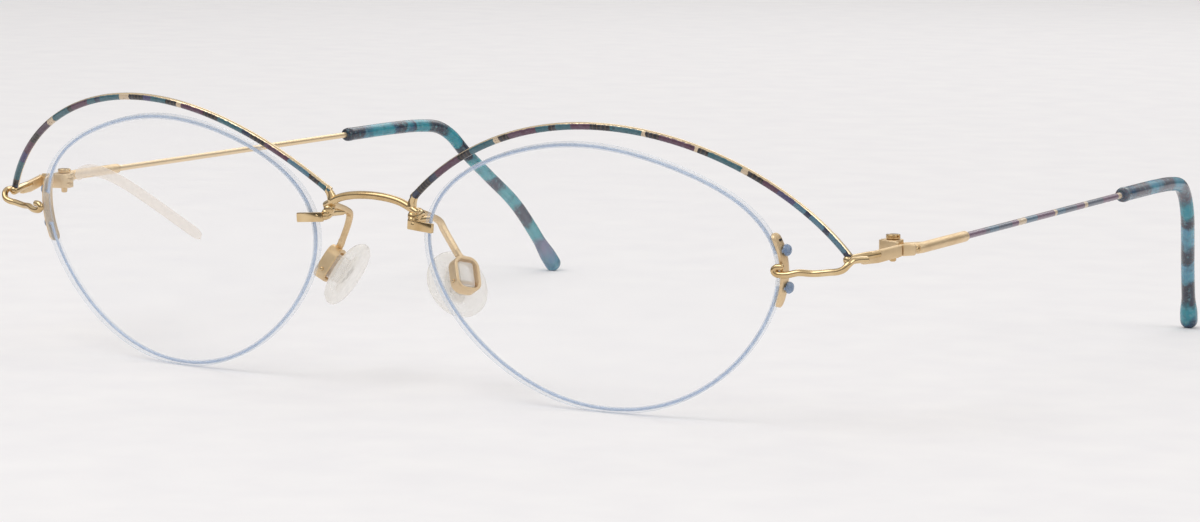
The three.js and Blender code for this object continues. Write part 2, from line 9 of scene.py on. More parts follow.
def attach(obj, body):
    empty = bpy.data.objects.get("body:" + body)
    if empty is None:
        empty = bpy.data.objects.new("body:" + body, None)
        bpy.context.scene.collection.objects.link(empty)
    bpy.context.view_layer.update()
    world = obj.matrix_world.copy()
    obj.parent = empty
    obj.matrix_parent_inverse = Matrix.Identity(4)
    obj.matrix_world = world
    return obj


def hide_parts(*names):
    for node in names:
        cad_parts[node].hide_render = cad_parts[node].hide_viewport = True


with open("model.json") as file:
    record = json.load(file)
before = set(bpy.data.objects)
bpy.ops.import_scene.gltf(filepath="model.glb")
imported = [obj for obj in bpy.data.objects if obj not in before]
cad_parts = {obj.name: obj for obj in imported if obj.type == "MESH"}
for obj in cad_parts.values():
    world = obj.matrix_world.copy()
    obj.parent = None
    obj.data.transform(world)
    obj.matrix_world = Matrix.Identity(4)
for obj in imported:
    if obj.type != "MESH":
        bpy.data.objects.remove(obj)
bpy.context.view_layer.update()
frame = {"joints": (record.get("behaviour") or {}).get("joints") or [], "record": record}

# Semi-rimless eyeglasses. Shapes are in millimetres with the bridge at X = 0, then moved into the row frame.
# Every paired piece is built on the wearer's left (+X) and mirrored for the right.

MM = 0.001
SIDES = ("left", "right")

# Where the main pieces stand. Angles are in degrees.
HINGE_AXIS = Vector((71.25, 18.02, 22.85))
PLATE_TURN = -17
TOE_IN = 3.78
RISE = {"left": 1.25, "right": 2.05}
LENS_CENTRE = (36.17, 0, 18.06)
LENS_WRAP = 4.66
LENS_TILT = 8.89
PAD_BOX_CENTRE = (11.58, 5.77, 15.85)
PAD_DOWN = (0.4, -0.35, -0.85)
PAD_FACE = (-0.85, 0.25, -0.46)

bodies = frame["record"]["behaviour"]["bodies"]
body_of = {node: body for body, nodes in bodies.items() for node in nodes}
fold = next(j for j in frame["joints"] if j["name"] == "temple_left_fold")
SHIFT = Vector(fold["pos_m"]) / MM - HINGE_AXIS


# ---- frames ----
def turned(position, turn, tilt):
    spin = Matrix.Rotation(math.radians(turn), 4, "Z") @ Matrix.Rotation(math.radians(tilt), 4, "X")
    return Matrix.Translation(Vector(position)) @ spin


def pad_frame():
    down = Vector(PAD_DOWN).normalized()
    face = Vector(PAD_FACE)
    face = (face - down * face.dot(down)).normalized()
    up = -down
    columns = Matrix((face.cross(up), face, up)).transposed()
    return Matrix.Translation(Vector(PAD_BOX_CENTRE)) @ columns.to_4x4()


WORLD = Matrix.Identity(4)
LENS_FRAME = turned(LENS_CENTRE, LENS_WRAP, LENS_TILT)
PAD_FRAME = pad_frame()
PLATE_FRAME = turned(HINGE_AXIS, PLATE_TURN, 0)
LEAF_FRAME = turned(HINGE_AXIS, TOE_IN, 0)


def temple_frame(side):
    return turned(HINGE_AXIS, TOE_IN, RISE[side])


# ---- shapes ----
class Shape:
    """Vertices in millimetres, faces, a uv pair for each face corner and a material index for each face."""

    def __init__(self):
        self.points, self.faces, self.uvs, self.slots = [], [], [], []

    def add(self, points, faces, uvs=None, slot=0):
        start = len(self.points)
        self.points += [Vector(p) for p in points]
        for i, face in enumerate(faces):
            self.faces.append([start + k for k in face])
            self.uvs.append(uvs[i] if uvs else [(0.0, 0.0)] * len(face))
            self.slots.append(slot)
        return self

    def join(self, other, slot=None, matrix=WORLD):
        start = len(self.points)
        self.points += [matrix @ p for p in other.points]
        self.faces += [[start + k for k in face] for face in other.faces]
        self.uvs += other.uvs
        self.slots += other.slots if slot is None else [slot] * len(other.slots)
        return self


SPLINE_STEPS = 40


def smooth(value, low, high):
    """Rises softly from 0 to 1 as value goes from low to high."""
    t = min(1, max(0, (value - low) / (high - low)))
    return t * t * (3 - 2 * t)


def spline(points, count):
    """Evenly spaced points on a centripetal Catmull-Rom curve."""
    p = [Vector(q) for q in points]
    p = [2 * p[0] - p[1], *p, 2 * p[-1] - p[-2]]
    dense = []
    for i in range(1, len(p) - 2):
        a, b, c, d = p[i - 1:i + 3]
        s0, s1, s2 = (max((v - u).length, 1e-9) ** 0.5 for u, v in ((a, b), (b, c), (c, d)))
        m1 = ((b - a) / s0 - (c - a) / (s0 + s1) + (c - b) / s1) * s1
        m2 = ((c - b) / s1 - (d - b) / (s1 + s2) + (d - c) / s2) * s1
        for k in range(SPLINE_STEPS):
            t = k / SPLINE_STEPS
            dense.append((2 * t**3 - 3 * t**2 + 1) * b + (t**3 - 2 * t**2 + t) * m1
                         + (3 * t**2 - 2 * t**3) * c + (t**3 - t**2) * m2)
    return even(dense + [p[-2]], count)


def bezier(a, b, c, d, count):
    """Evenly spaced points on a curve from a to d, drawn towards the handles b and c."""
    a, b, c, d = (Vector(v) for v in (a, b, c, d))
    dense = []
    steps = 200
    for k in range(steps + 1):
        t = k / steps
        dense.append((1 - t)**3 * a + 3 * (1 - t)**2 * t * b + 3 * (1 - t) * t**2 * c + t**3 * d)
    return even(dense, count)


def distances(path):
    """How far along a path each of its points lies."""
    run = [0.0]
    for u, v in zip(path, path[1:]):
        run.append(run[-1] + (v - u).length)
    return run


def even(dense, count):
    """A path's points respaced to count equal steps."""
    run = distances(dense)
    out, i = [], 0
    for k in range(count + 1):
        target = run[-1] * k / count
        while i < len(dense) - 2 and run[i + 1] < target:
            i += 1
        span = max(run[i + 1] - run[i], 1e-9)
        out.append(dense[i].lerp(dense[i + 1], min(1, max(0, (target - run[i]) / span))))
    return out


def round_section(sides=20):
    turns = [2 * math.pi * k / sides for k in range(sides)]
    return [(math.cos(turn), math.sin(turn)) for turn in turns]


def square_section(power=5, sides=28, start=0.5):
    """A square with rounded corners, one unit from middle to face. A higher power makes it squarer."""
    section = []
    for k in range(sides):
        turn = 2 * math.pi * (k + start) / sides
        c, s = math.cos(turn), math.sin(turn)
        reach = (abs(c)**power + abs(s)**power) ** (-1 / power)
        section.append((c * reach, s * reach))
    return section


DOME_RINGS = 5
DOME_TIP = 0.02


def tube(path, radius, section=None, reference=(0, 0, 1), ends=(1.0, 1.0)):
    """A bar along a path. radius is a number, or a function of (distance, length) giving one radius or two.
    ends are how domed each end is, in radii. The uv is (distance in mm, turn from the reference direction).
    """
    section = section or round_section()
    size = radius if callable(radius) else (lambda s, length: radius)
    run = distances(path)
    length = run[-1]
    tangents = []
    for i in range(len(path)):
        tangents.append((path[min(i + 1, len(path) - 1)] - path[max(i - 1, 0)]).normalized())
    normal = Vector(reference)
    rings = []
    for i, point in enumerate(path):
        normal = (normal - tangents[i] * normal.dot(tangents[i])).normalized()
        rings.append((point, tangents[i], normal.copy(), run[i], 1.0))

    def dome(ring, direction, depth):
        point, tangent, n, s, _ = ring
        reach = size(s, length)
        reach = min(reach) if isinstance(reach, tuple) else reach
        out = []
        for k in range(1, DOME_RINGS + 1):
            angle = k / DOME_RINGS * math.pi / 2
            shrink = max(math.cos(angle), DOME_TIP)
            move = direction * depth * reach * math.sin(angle)
            out.append((point + tangent * move, tangent, n, s + move, shrink))
        return out

    rings = dome(rings[0], -1, ends[0])[::-1] + rings + dome(rings[-1], 1, ends[1])
    points, faces, uvs = [], [], []
    count = len(section)
    for point, tangent, n, s, shrink in rings:
        side = tangent.cross(n)
        reach = size(min(max(s, 0), length), length)
        wide, deep = reach if isinstance(reach, tuple) else (reach, reach)
        points += [point + (n * x * wide + side * y * deep) * shrink for x, y in section]
    for i in range(len(rings) - 1):
        for k in range(count):
            after = (k + 1) % count
            faces.append([i * count + k, i * count + after, (i + 1) * count + after, (i + 1) * count + k])
            s0, s1 = rings[i][3], rings[i + 1][3]
            uvs.append([(s0, k / count), (s0, (k + 1) / count), (s1, (k + 1) / count), (s1, k / count)])
    last = (len(rings) - 1) * count
    faces += [list(range(count))[::-1], [last + k for k in range(count)]]
    uvs += [[(rings[0][3], 0.0)] * count, [(rings[-1][3], 0.0)] * count]
    return Shape().add(points, faces, uvs)


def lathe(profile, segments=32, squash=(1, 1)):
    """A profile of (radius, height) turned about Z, its first and last points on the axis."""
    points, faces = [], []
    inner = profile[1:-1]
    for radius, height in inner:
        for k in range(segments):
            angle = 2 * math.pi * k / segments
            x, y = radius * math.cos(angle) * squash[0], radius * math.sin(angle) * squash[1]
            points.append((x, y, height))
    points += [(0, 0, profile[0][1]), (0, 0, profile[-1][1])]
    low, high = len(points) - 2, len(points) - 1
    for k in range(segments):
        after = (k + 1) % segments
        faces.append([low, after, k])
        for i in range(len(inner) - 1):
            base, top = i * segments, (i + 1) * segments
            faces.append([base + k, base + after, top + after, top + k])
        last = (len(inner) - 1) * segments
        faces.append([last + k, last + after, high])
    return Shape().add(points, faces)


SHARP_EDGE = 0.3


def prism(outline, low, high, bevel=0.08, segments=2):
    """An outline in X and Y raised along Z, with every edge rounded."""
    mesh = bmesh.new()
    corners = [mesh.verts.new((x, y, low)) for x, y in outline]
    base = mesh.faces.new(corners)
    raised = bmesh.ops.extrude_face_region(mesh, geom=[base])
    moved = [v for v in raised["geom"] if isinstance(v, bmesh.types.BMVert)]
    bmesh.ops.translate(mesh, verts=moved, vec=(0, 0, high - low))
    bmesh.ops.recalc_face_normals(mesh, faces=mesh.faces[:])
    if bevel:
        sharp = [e for e in mesh.edges if e.calc_face_angle(0) > SHARP_EDGE]
        bmesh.ops.bevel(mesh, geom=sharp, offset=bevel, segments=segments, profile=0.5, affect="EDGES",
                        clamp_overlap=True)
    mesh.verts.index_update()
    shape = Shape().add([v.co.copy() for v in mesh.verts], [[v.index for v in f.verts] for f in mesh.faces])
    mesh.free()
    return shape


def ring_faces(rings, size, closed=False):
    """Four-sided faces between rings of points, each ring having size points."""
    faces = []
    for i in range(rings if closed else rings - 1):
        a, b = i * size, (i + 1) % rings * size
        for k in range(size):
            after = (k + 1) % size
            faces.append([a + k, a + after, b + after, b + k])
    return faces


def disc(radius, sides=36, centre=(0, 0), squash=1):
    return [(centre[0] + radius * math.cos(2 * math.pi * k / sides),
             centre[1] + squash * radius * math.sin(2 * math.pi * k / sides)) for k in range(sides)]


def rounded_rectangle(width, height, corner, sides=6):
    outline = []
    for cx, cy, start in ((1, 1, 0), (-1, 1, 90), (-1, -1, 180), (1, -1, 270)):
        for k in range(sides + 1):
            angle = math.radians(start + 90 * k / sides)
            outline.append((cx * (width / 2 - corner) + corner * math.cos(angle),
                            cy * (height / 2 - corner) + corner * math.sin(angle)))
    return outline


# Turns an outline's X, Y and height into X, Z and Y, or into Y, Z and X.
ALONG_Y = Matrix(((1, 0, 0, 0), (0, 0, -1, 0), (0, 1, 0, 0), (0, 0, 0, 1)))
ALONG_X = Matrix(((0, 0, 1, 0), (1, 0, 0, 0), (0, 1, 0, 0), (0, 0, 0, 1)))


# ---- pieces ----
SHARP_ANGLE = 38


def piece(node, shape, matrix, materials, soft=False):
    """One visible object that stands for a CAD node, mirrored if the node is on the right.
    Unless it is soft, its edges are sharp wherever faces meet at more than SHARP_ANGLE degrees.
    """
    sign = -1 if node.endswith("_right") else 1
    flip = Matrix.Diagonal((sign, 1, 1, 1))
    place = Matrix.Scale(MM, 4) @ flip @ Matrix.Translation(SHIFT) @ matrix
    mesh = bpy.data.meshes.new(node + "_form")
    faces = [face[::sign] for face in shape.faces]
    mesh.from_pydata([place @ p for p in shape.points], [], faces)
    layer = mesh.uv_layers.new(name="along")
    corner = 0
    for uvs in shape.uvs:
        for uv in uvs[::sign]:
            layer.data[corner].uv = uv
            corner += 1
    for material in materials:
        mesh.materials.append(material)
    for polygon, slot in zip(mesh.polygons, shape.slots):
        polygon.material_index = slot
    fix = bmesh.new()
    fix.from_mesh(mesh)
    bmesh.ops.recalc_face_normals(fix, faces=fix.faces[:])
    fix.to_mesh(mesh)
    fix.free()
    mesh.shade_smooth()
    if not soft:
        mesh.set_sharp_from_angle(angle=math.radians(SHARP_ANGLE))
    result = bpy.data.objects.new(node + "_form", mesh)
    bpy.context.scene.collection.objects.link(result)
    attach(result, body_of[node])
    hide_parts(node)
    return result


# ---- materials ----
def linear(colour):
    """A screen colour, 0 to 255, as the linear values that a material takes."""
    out = []
    for value in colour:
        c = value / 255
        out.append(c / 12.92 if c <= 0.04045 else ((c + 0.055) / 1.055) ** 2.4)
    return (*out, 1.0)


class Look:
    """A node material built step by step."""

    def __init__(self, name):
        self.material = bpy.data.materials.new(name)
        self.material.use_nodes = True
        self.tree = self.material.node_tree
        self.bsdf = self.tree.nodes["Principled BSDF"]
        self.output = self.tree.nodes["Material Output"]

    def node(self, kind, **values):
        made = self.tree.nodes.new("ShaderNode" + kind)
        for key, value in values.items():
            setattr(made, key, value)
        return made

    def feed(self, source, target):
        """Sets an input to a number or colour, or links an output to it."""
        if isinstance(source, bpy.types.NodeSocket):
            self.tree.links.new(source, target)
        else:
            target.default_value = source

    def put(self, name, source):
        self.feed(source, self.bsdf.inputs[name])
        return self

    def math(self, operation, a, b=0.0, clamp=False):
        made = self.node("Math", operation=operation, use_clamp=clamp)
        self.feed(a, made.inputs[0])
        self.feed(b, made.inputs[1])
        return made.outputs[0]

    def mix(self, share, a, b):
        made = self.node("Mix", data_type="RGBA")
        self.feed(share, made.inputs[0])
        self.feed(a, made.inputs[6])
        self.feed(b, made.inputs[7])
        return made.outputs[2]

    def noise(self, scale, detail=3.0, stretch=None, source="Object"):
        """Noise whose features are about 1/scale metres across, stretched along an axis if asked."""
        where = self.node("TexCoord").outputs[source]
        if stretch:
            mapping = self.node("Mapping")
            mapping.inputs["Scale"].default_value = stretch
            self.feed(where, mapping.inputs["Vector"])
            where = mapping.outputs[0]
        made = self.node("TexNoise")
        made.inputs["Scale"].default_value = scale
        made.inputs["Detail"].default_value = detail
        self.feed(where, made.inputs["Vector"])
        return made.outputs["Fac"]

    def span(self, value, low, high, to_low=0.0, to_high=1.0):
        made = self.node("MapRange")
        self.feed(value, made.inputs[0])
        for i, number in enumerate((low, high, to_low, to_high)):
            made.inputs[i + 1].default_value = number
        return made.outputs[0]

    def ramp(self, value, stops, mode="CONSTANT"):
        made = self.node("ValToRGB")
        made.color_ramp.interpolation = mode
        elements = made.color_ramp.elements
        while len(elements) > 1:
            elements.remove(elements[-1])
        elements[0].position, elements[0].color = stops[0][0], linear(stops[0][1])
        for position, colour in stops[1:]:
            elements.new(position).color = linear(colour)
        self.feed(value, made.inputs[0])
        return made.outputs[0]

    def uv(self):
        split = self.node("SeparateXYZ")
        self.feed(self.node("UVMap", uv_map="along").outputs[0], split.inputs[0])
        return split.outputs[0], split.outputs[1]

    def bump(self, height, strength=0.2, distance=0.00002):
        made = self.node("Bump")
        made.inputs["Strength"].default_value = strength
        made.inputs["Distance"].default_value = distance
        self.feed(height, made.inputs["Height"])
        return self.put("Normal", made.outputs[0])

    def seen_through(self, share):
        """share is how much of the surface shows; the rest is seen through, with nothing bent."""
        see = self.node("BsdfTransparent")
        blend = self.node("MixShader")
        self.feed(share, blend.inputs[0])
        self.feed(see.outputs[0], blend.inputs[1])
        self.feed(self.bsdf.outputs[0], blend.inputs[2])
        self.feed(blend.outputs[0], self.output.inputs[0])
        return self


GOLD = (226, 200, 156)
GOLD_SATIN = (238, 214, 176)
GOLD_DARK = (196, 164, 116)
GOLD_SATIN_DARK = (222, 194, 152)


def gold(name, colour, deep, roughness, grain):
    """Gold plating in two close shades, with fine marks that follow the brushing."""
    look = Look(name)
    tone = look.span(look.noise(260, 4), 0.35, 0.7)
    look.put("Base Color", look.mix(tone, linear(colour), linear(deep)))
    look.put("Metallic", 1.0)
    fine = look.noise(9000, 2, (1, 0.25, 1))
    look.put("Roughness", look.span(fine, 0.3, 0.7, roughness * 0.85, roughness * 1.2))
    look.bump(fine, grain)
    return look.material


def clear(name, colour, roughness, middle, rim_share, glow=0.0):
    """Thin clear plastic, seen through. Its gloss and body colour grow from middle, where it faces the eye,
    to rim_share, where it is seen edge on. glow is a painted glow, light given off in its own colour for the
    light it scatters inside.
    """
    look = Look(name)
    facing = look.node("LayerWeight")
    facing.inputs["Blend"].default_value = 0.35
    body = look.span(facing.outputs["Facing"], 0.0, 1.0, middle, rim_share)
    cloud = look.span(look.noise(900, 3), 0.3, 0.7, 0.9, 1.1)
    look.put("Base Color", linear(colour)).put("IOR", 1.49)
    # Painted glow: the plastic gives off light of its own colour, though it is no lamp.
    look.put("Emission Color", linear(colour)).put("Emission Strength", glow)
    look.put("Roughness", look.span(look.noise(1500, 3), 0.3, 0.7, roughness * 0.8, roughness * 1.2))
    return look.seen_through(look.math("MULTIPLY", body, cloud, clamp=True)).material


polished = gold("gold_polished", GOLD, GOLD_DARK, 0.12, 0.05)
satin = gold("gold_satin", GOLD_SATIN, GOLD_SATIN_DARK, 0.46, 0.22)
lens_face = clear("lens_polish", (250, 252, 255), 0.02, 0.015, 0.12)
lens_edge = clear("lens_edge", (222, 232, 244), 0.25, 0.22, 0.45)
# The silicone has a faint painted glow.
silicone = clear("silicone", (250, 246, 238), 0.2, 0.2, 0.7, 0.02)
film = clear("label_film", (252, 242, 230), 0.2, 0.32, 0.5)

NAVY = (44, 54, 78)
BLACK = (26, 23, 27)
TEAL = (58, 102, 112)
SKY = (82, 122, 142)
PURPLE = (92, 56, 76)
VIOLET = (78, 72, 110)
PLUM = (84, 62, 78)
CREAM = (214, 192, 162)

# Each band is a share of the wire's length, where the band starts, and its colour.
BROW_BANDS = {
    "left": [
        (0.0, NAVY), (0.02, BLACK), (0.065, NAVY), (0.085, PURPLE), (0.155, BLACK), (0.187, TEAL),
        (0.25, CREAM), (0.258, BLACK), (0.285, PURPLE), (0.345, TEAL), (0.372, BLACK), (0.39, TEAL),
        (0.42, PURPLE), (0.46, BLACK), (0.5, TEAL), (0.562, CREAM), (0.57, BLACK), (0.595, PURPLE),
        (0.662, CREAM), (0.669, BLACK), (0.688, TEAL), (0.755, CREAM), (0.769, BLACK), (0.797, PURPLE),
        (0.83, VIOLET), (0.865, SKY), (0.89, NAVY), (0.9, SKY), (0.93, NAVY), (0.945, SKY), (0.985, NAVY),
    ],
    "right": [
        (0.0, TEAL), (0.02, BLACK), (0.043, SKY), (0.095, PURPLE), (0.15, BLACK), (0.187, NAVY),
        (0.205, TEAL), (0.265, BLACK), (0.3, PURPLE), (0.354, CREAM), (0.364, BLACK), (0.393, TEAL),
        (0.43, VIOLET), (0.452, BLACK), (0.49, CREAM), (0.516, TEAL), (0.575, NAVY), (0.592, TEAL),
        (0.615, PURPLE), (0.67, BLACK), (0.68, TEAL), (0.742, CREAM), (0.765, PLUM),
        (0.81, BLACK), (0.845, PURPLE), (0.885, VIOLET), (0.915, TEAL), (0.97, BLACK), (0.985, NAVY),
    ],
}
MAUVE = (122, 96, 116)
SLATE = (100, 106, 120)
MIST = (92, 120, 140)
WIRE_BANDS = [
    (0.0, MAUVE), (0.09, SLATE), (0.11, MIST), (0.155, SLATE), (0.22, MAUVE), (0.253, CREAM),
    (0.292, MIST), (0.345, MAUVE), (0.434, CREAM), (0.446, MIST), (0.49, SLATE), (0.55, MAUVE),
    (0.593, CREAM), (0.607, SLATE), (0.69, MAUVE), (0.77, CREAM), (0.79, SLATE),
]
BLUE = (92, 160, 186)
AQUA = (58, 158, 174)
SMOKE = (98, 98, 112)
COAL = (50, 58, 74)
INK = (42, 84, 118)
PALE = (112, 184, 194)
LILAC = (150, 150, 176)
# On the tips each share is a point of full colour, and the colours run into each other between them.
TIP_BANDS = {
    "left": [
        (0.0, SLATE), (0.025, INK), (0.05, INK), (0.08, SMOKE), (0.13, SMOKE), (0.165, BLUE), (0.2, BLUE),
        (0.24, SMOKE), (0.3, SMOKE), (0.335, BLUE), (0.37, BLUE), (0.4, SMOKE), (0.47, SMOKE),
        (0.505, AQUA), (0.53, AQUA), (0.55, COAL), (0.575, COAL), (0.595, BLUE), (0.65, BLUE),
        (0.68, COAL), (0.735, COAL), (0.755, BLUE), (0.815, BLUE), (0.84, COAL), (0.895, COAL),
        (0.915, AQUA), (0.955, AQUA), (0.975, INK), (1.0, COAL),
    ],
    "right": [
        (0.0, COAL), (0.06, COAL), (0.07, INK), (0.1, AQUA), (0.18, AQUA), (0.2, INK), (0.22, COAL),
        (0.245, COAL), (0.255, AQUA), (0.27, INK), (0.285, COAL), (0.3, AQUA), (0.34, AQUA),
        (0.355, COAL), (0.425, COAL), (0.445, AQUA), (0.49, AQUA), (0.505, COAL), (0.55, COAL),
        (0.565, PALE), (0.65, PALE), (0.665, SMOKE), (0.69, SMOKE), (0.705, PALE), (0.77, PALE),
        (0.785, SMOKE), (0.84, SMOKE), (0.855, PALE), (0.9, PALE), (0.93, LILAC), (1.0, BLUE),
    ],
}


DASH_PERIOD = 0.62
STREAK = (140, 148, 160)
FLECK = (38, 36, 44)
DASH = (150, 124, 100)


def enamel(name, bands, length, cover, polish):
    """Enamel bands along a gold wire. cover is how far round the wire the enamel reaches, as a cosine,
    and polish is the bare gold's roughness. Faint dashes cross the darkest bands.
    """
    look = Look(name)
    along, around = look.uv()
    wobble = look.span(look.noise(1800, 2), 0.3, 0.7, -0.12, 0.12)
    place = look.math("DIVIDE", look.math("ADD", along, wobble), length)
    colour = look.ramp(place, bands)
    streak = look.span(look.noise(1400, 3), 0.4, 0.72)
    shade = look.mix(look.math("MULTIPLY", streak, 0.18), colour, linear(STREAK))
    fleck = look.span(look.noise(3600, 2), 0.62, 0.66)
    shade = look.mix(look.math("MULTIPLY", fleck, 0.5), shade, linear(FLECK))
    value = look.node("RGBToBW")
    look.feed(colour, value.inputs[0])
    dark = look.span(value.outputs[0], 0.014, 0.024, 1.0, 0.0)
    wave = look.math("SINE", look.math("MULTIPLY", along, 2 * math.pi / DASH_PERIOD))
    dash = look.math("MULTIPLY", dark, look.span(wave, 0.45, 0.75))
    shade = look.mix(look.math("MULTIPLY", dash, 0.22), shade, linear(DASH))
    turn = look.math("COSINE", look.math("MULTIPLY", around, 2 * math.pi))
    edge = look.math("ADD", turn, look.span(look.noise(2500, 2), 0.3, 0.7, -0.08, 0.08))
    painted = look.span(edge, cover - 0.04, cover + 0.04)
    look.put("Base Color", look.mix(painted, linear(GOLD_SATIN), shade))
    look.put("Metallic", look.math("SUBTRACT", 1.0, look.math("MULTIPLY", painted, 0.85)))
    look.put("Roughness", look.math("ADD", polish, look.math("MULTIPLY", painted, 0.28 - polish)))
    look.put("Coat Weight", look.math("MULTIPLY", painted, 0.35)).put("Coat Roughness", 0.12)
    look.bump(painted, 0.5, 0.00003)
    return look.material


CLOUD = (58, 66, 84)
VEIN = (132, 186, 196)


def tip_plastic(name, bands, length):
    """Translucent turquoise plastic with soft darker bands and cloudy patches."""
    look = Look(name)
    along = look.uv()[0]
    wobble = look.span(look.noise(420, 4), 0.3, 0.7, -0.9, 0.9)
    place = look.math("DIVIDE", look.math("ADD", along, wobble), length)
    colour = look.ramp(place, bands, "LINEAR")
    patch = look.span(look.noise(700, 4), 0.5, 0.72)
    colour = look.mix(look.math("MULTIPLY", patch, 0.55), colour, linear(CLOUD))
    vein = look.span(look.noise(1300, 3), 0.52, 0.7)
    colour = look.mix(look.math("MULTIPLY", vein, 0.4), colour, linear(VEIN))
    look.put("Base Color", colour).put("Roughness", 0.24).put("IOR", 1.5)
    look.put("Transmission Weight", 0.25).put("Subsurface Weight", 0.35).put("Subsurface Scale", 0.0006)
    look.put("Coat Weight", 0.3).put("Coat Roughness", 0.08)
    look.bump(look.noise(900, 2), 0.08)
    return look.material


def plastic(name, colour, deep, transmission, roughness):
    """Plain plastic in two close shades."""
    look = Look(name)
    tone = look.span(look.noise(1600, 3), 0.38, 0.66)
    look.put("Base Color", look.mix(tone, linear(colour), linear(deep)))
    look.put("Transmission Weight", transmission).put("IOR", 1.5).put("Roughness", roughness)
    look.put("Coat Weight", 0.2)
    look.bump(look.noise(6000, 2), 0.05)
    return look.material


nylon = plastic("nylon", (206, 222, 244), (186, 206, 236), 0.1, 0.3)
knob_look = plastic("knob_plastic", (168, 190, 218), (128, 154, 190), 0.3, 0.15)
# The insert has a faint painted glow.
insert_look = clear("insert_plastic", (250, 247, 242), 0.25, 0.3, 0.8, 0.05)
# Dark plastic used as painted shade in the bracket's slot, and for the dark marks on the pad insert.
dark = plastic("painted_slot_shade_and_marks", (44, 34, 26), (30, 24, 20), 0.0, 0.6)


# ---- lens, thread, bracket and knobs ----
HALF_WIDTH = 26.3
HALF_HEIGHT = 18.05
EDGE = 1.7
BASE = 130.0
THREAD_INSET = -0.33


def rim(angle, offset=0.0):
    """A point on the lens's rim, or offset millimetres outside it."""
    shape = (1 - 0.011 * math.sin(2 * angle) + 0.035 * math.sin(3 * angle) + 0.003 * math.sin(4 * angle)
             + 0.0085 * math.cos(4 * angle) + 0.006 * math.sin(5 * angle) - 0.003 * math.cos(6 * angle))
    x, z = HALF_WIDTH * shape * math.cos(angle), HALF_HEIGHT * shape * math.sin(angle)
    scale = 1 + offset / math.hypot(x, z)
    return x * scale, z * scale


def rim_angle(height):
    """The angle at which the outer side of the rim has a height."""
    angle = 0.0
    for _ in range(20):
        angle += (height - rim(angle)[1]) / HALF_HEIGHT
    return angle


def curved(shape):
    """Bends lens-frame points onto the lens's base curve."""
    for p in shape.points:
        p.y += (p.x**2 + p.z**2) / (2 * BASE)
    return shape


LENS_SEGMENTS = 192
LENS_BEVEL = -0.14


def lens_shape():
    """A lens with polished faces (slot 0) and a matt edge with a groove all round it (slot 1)."""
    half = EDGE / 2
    section = [(LENS_BEVEL, -half), (-0.03, -half + 0.03), (0, -half + 0.14), (0, -0.33), (-0.3, -0.29),
               (-0.6, -0.18), (-0.7, 0), (-0.6, 0.18), (-0.3, 0.29), (0, 0.33), (0, half - 0.14),
               (-0.03, half - 0.03), (LENS_BEVEL, half)]
    shares = [0.12 * k for k in range(1, 9)]
    turns = [2 * math.pi * k / LENS_SEGMENTS for k in range(LENS_SEGMENTS)]
    inner = [rim(turn, LENS_BEVEL) for turn in turns]
    points = []
    for share in shares:
        points += [(share * x, -half, share * z) for x, z in inner]
    for offset, y in section:
        points += [(x, y, z) for x, z in (rim(turn, offset) for turn in turns)]
    for share in reversed(shares):
        points += [(share * x, half, share * z) for x, z in inner]
    points += [(0, -half, 0), (0, half, 0)]
    front, back = len(points) - 2, len(points) - 1
    rows = 2 * len(shares) + len(section)
    last = (rows - 1) * LENS_SEGMENTS
    faces = ring_faces(rows, LENS_SEGMENTS)
    for k in range(LENS_SEGMENTS):
        after = (k + 1) % LENS_SEGMENTS
        faces += [[front, after, k], [back, last + k, last + after]]
    shape = Shape().add(points, faces)
    first_edge, last_edge = len(shares), len(shares) + len(section) - 2
    for row in range(first_edge, last_edge + 1):
        for k in range(LENS_SEGMENTS):
            shape.slots[row * LENS_SEGMENTS + k] = 1
    return curved(shape)


# The clear strip's ends on the lens, and the handles that bend it.
FILM_OUTER = (17.5, 0, 7.5)
FILM_OUTER_HANDLE = (13, 0, 11.5)
FILM_INNER_HANDLE = (3, 0, 6.5)
FILM_INNER = (-7.5, 0, 1)


FILM_STEPS = 40
FILM_HALF_WIDTH = 0.85
FILM_END_WIDTHS = (0.55, 0.9)
FILM_LAYERS = (-0.93, -0.83)


def film_shape():
    """A thin blank strip of clear film with rounded ends, stuck on the front of one lens."""
    middle = bezier(FILM_OUTER, FILM_OUTER_HANDLE, FILM_INNER_HANDLE, FILM_INNER, FILM_STEPS)
    points = []
    for i, point in enumerate(middle):
        along = (middle[min(i + 1, FILM_STEPS)] - middle[max(i - 1, 0)]).normalized()
        near = min(i, FILM_STEPS - i)
        half = FILM_HALF_WIDTH * (FILM_END_WIDTHS[near] if near < len(FILM_END_WIDTHS) else 1)
        across = Vector((-along.z, 0, along.x)) * half
        low, high = FILM_LAYERS
        for side, y in ((across, low), (-across, low), (-across, high), (across, high)):
            points.append((point.x + side.x, y, point.z + side.z))
    last = 4 * FILM_STEPS
    faces = ring_faces(FILM_STEPS + 1, 4) + [[0, 1, 2, 3], [last, last + 1, last + 2, last + 3]]
    return curved(Shape().add(points, faces))


KNOB_HEIGHTS = {"upper": 4.4, "lower": -0.4}
THREAD_STEPS = 240


def radial(height, start, end):
    """A short straight path across the rim at a height, between two distances from it."""
    angle = rim_angle(height)
    (x0, z0), (x1, z1) = rim(angle, start), rim(angle, end)
    return [Vector((x0, 0, z0)).lerp(Vector((x1, 0, z1)), k / 4) for k in range(5)]


def thread_shape():
    """The thread in its groove, from one knob round to the other, and its ends through the bracket."""
    first, last = (rim_angle(z) for z in KNOB_HEIGHTS.values())
    turns = 2 * math.pi + last - first
    path = []
    for k in range(THREAD_STEPS + 1):
        x, z = rim(first + turns * k / THREAD_STEPS, THREAD_INSET)
        path.append(Vector((x, 0, z)))
    shape = tube(path, 0.2, round_section(12), (0, 1, 0), (0.3, 0.3))
    for height in KNOB_HEIGHTS.values():
        shape.join(tube(radial(height, -0.45, 0.7), 0.25, round_section(12), (0, 1, 0), (0.3, 0.3)))
    return curved(shape)


